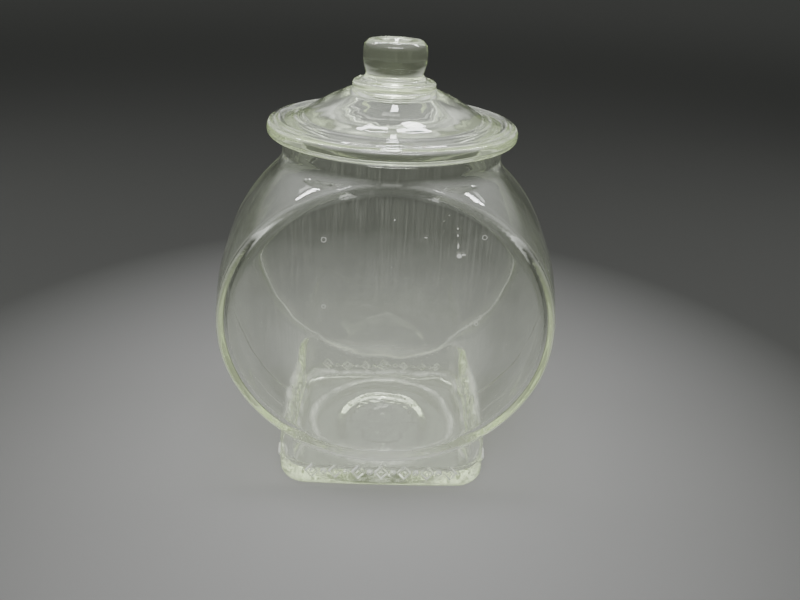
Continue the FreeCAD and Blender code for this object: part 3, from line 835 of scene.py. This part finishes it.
def floor_material():
    """The matte studio floor: a painted pool of light, pale under the object and painted greyer with
    distance.
    """
    material = bpy.data.materials.new("floor_pale_painted_pool")
    n = Nodes(material)
    place = n.add("ShaderNodeTexCoord").outputs["Object"]
    distance = n.add("ShaderNodeVectorMath", {0: place}, operation="LENGTH").outputs["Value"]
    # Painted pool of light: pale near the middle, painted darker further out.
    share = n.ramp(distance, FLOOR_PALE_REACH, FLOOR_FALLOFF_REACH)
    colour = n.add("ShaderNodeMix", {0: share, 6: FLOOR_PALE, 7: FLOOR_PAINTED_FALLOFF}, data_type="RGBA")
    grain = n.noise(place, 900.0, 2.0)
    bump = n.add("ShaderNodeBump", {"Height": grain, "Strength": 0.15, "Distance": 0.0004})
    matte = n.add("ShaderNodeBsdfPrincipled", {"Base Color": colour.outputs[2], "Roughness": 0.85,
                                               "Specular IOR Level": 0.0,
                                               "Normal": bump.outputs[0]})
    n.add("ShaderNodeOutputMaterial", {"Surface": matte.outputs[0]})
    return material


# ---------------------------------------------------------------- studio

LIT_POINT = Vector((0, 0, 0.18))               # where the lamps aim, in metres
CAMERA_PLACE = (-3.8, -455.3, 354.7)           # in millimetres
CAMERA_TURN = (1.777, 27.25, 2.695)            # yaw, pitch down and roll, in degrees
CAMERA_LENS = 30.05


def make_floor():
    """A wide plain floor with a painted pale pool of light round the object, a hair below the foot."""
    reach, drop = 30.0, -0.0003
    mesh = bpy.data.meshes.new("floor")
    corners = [(-reach, -reach, drop), (reach, -reach, drop), (reach, reach, drop), (-reach, reach, drop)]
    mesh.from_pydata(corners, [], [(0, 1, 2, 3)])
    floor = bpy.data.objects.new("floor", mesh)
    bpy.context.scene.collection.objects.link(floor)
    mesh.materials.append(floor_material())


def make_light(name, place, size, power, along=(1, 0, 0), mirrored=True, matte=True):
    """A soft lamp aimed at the jar, seen in the glass, by matte surfaces, or by both."""
    data = bpy.data.lights.new(name, "AREA")
    data.shape = "RECTANGLE"
    data.size, data.size_y = size
    data.energy = power
    light = bpy.data.objects.new(name, data)
    back = (Vector(place) - LIT_POINT).normalized()
    side = back.cross(Vector(along)).normalized()
    turn = Matrix((side.cross(back), side, back)).transposed().to_4x4()
    light.matrix_world = Matrix.Translation(Vector(place)) @ turn
    light.visible_camera = False
    light.visible_glossy = mirrored
    light.visible_transmission = mirrored
    light.visible_diffuse = matte
    bpy.context.scene.collection.objects.link(light)


def make_world():
    """A dim surround, lighter overhead: softly for matte surfaces and brightly for the glass."""
    world = bpy.data.worlds.new("studio")
    bpy.context.scene.world = world
    n = Nodes(world)
    way = n.add("ShaderNodeTexCoord").outputs["Generated"]
    up = n.add("ShaderNodeSeparateXYZ", {0: way}).outputs["Z"]
    share = n.ramp(up, 0.15, 0.95)
    matte = n.add("ShaderNodeLightPath").outputs["Is Diffuse Ray"]
    ceiling = n.add("ShaderNodeMix", {0: matte, 6: (2.6, 2.65, 2.6, 1), 7: (0.30, 0.31, 0.31, 1)},
                    data_type="RGBA")
    colour = n.add("ShaderNodeMix", {0: share, 6: (0.018, 0.0185, 0.0178, 1), 7: ceiling.outputs[2]},
                   data_type="RGBA")
    light = n.add("ShaderNodeBackground", {"Color": colour.outputs[2], "Strength": 1.0})
    n.add("ShaderNodeOutputWorld", {"Surface": light.outputs[0]})


def make_camera():
    """The viewing angle: from in front, a little above the knob, tilted down, with a slight roll."""
    place = Vector(CAMERA_PLACE) * MM
    yaw, pitch, roll = (math.radians(angle) for angle in CAMERA_TURN)
    right = Vector((math.cos(yaw), -math.sin(yaw), 0))
    ahead = Vector((math.sin(yaw) * math.cos(pitch), math.cos(yaw) * math.cos(pitch), -math.sin(pitch)))
    up = right.cross(ahead)
    rolled_right = right * math.cos(roll) + up * math.sin(roll)
    rolled_up = up * math.cos(roll) - right * math.sin(roll)
    data = bpy.data.cameras.new("camera")
    data.sensor_width = 36.0
    data.lens = CAMERA_LENS
    data.clip_start = 0.01
    camera = bpy.data.objects.new("camera", data)
    turn = Matrix((rolled_right, rolled_up, -ahead)).transposed().to_4x4()
    camera.matrix_world = Matrix.Translation(place) @ turn
    bpy.context.scene.collection.objects.link(camera)
    bpy.context.scene.camera = camera


def set_light_paths():
    """Enough bounces for light to pass through every wall of the jar and lid."""
    cycles = bpy.context.scene.cycles
    cycles.max_bounces = 24
    cycles.transmission_bounces = 24
    cycles.glossy_bounces = 8
    cycles.transparent_max_bounces = 48
    cycles.sample_clamp_indirect = 6.0


def dress(piece, body, material):
    """Gives a piece its material and puts it in the CAD node's place, riding on its body."""
    piece.data.materials.append(material)
    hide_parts(body)
    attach(piece, body)


def make_lights():
    """Strips that show in the glass, soft lamps for matte surfaces, and two lamps for both."""
    make_light("overhead", (0, 0.02, 1.40), (0.45, 0.16), 6)
    make_light("front_fill", (-0.3, -1.1, 0.9), (0.5, 0.5), 7, mirrored=False)
    make_light("front_panel", (0, -0.75, 1.20), (1.0, 0.22), 10)
    make_light("middle_strip", (0, 0.85, 1.40), (0.7, 0.09), 8, (0, 1, 0), matte=False)
    for side, word in ((-1, "left"), (1, "right")):
        strip_place = (side * 0.55, 0.40, 1.40)
        make_light(word + "_strip", strip_place, (1.1, 0.06), 11, (side, 0.30, 0), matte=False)
        make_light(word + "_side", (side * 1.2, 0.2, 0.9), (0.5, 0.5), 7, mirrored=False)


def main():
    # Each glass gets a painted glow, and painted highlight lines frosted along its edges.
    jar_material = glass_material("jar_glass", density=6.0, painted_glow=2.3, grime=0.010,
                                  unevenness=0.045, marked=True)
    dress(make_jar(), "jar", jar_material)
    lid_material = glass_material("lid_glass", density=8.0, painted_glow=2.2, grime=0.006,
                                  unevenness=0.05, marked=False)
    dress(make_lid(), "lid", lid_material)
    make_floor()
    make_world()
    make_lights()
    make_camera()
    set_light_paths()


main()
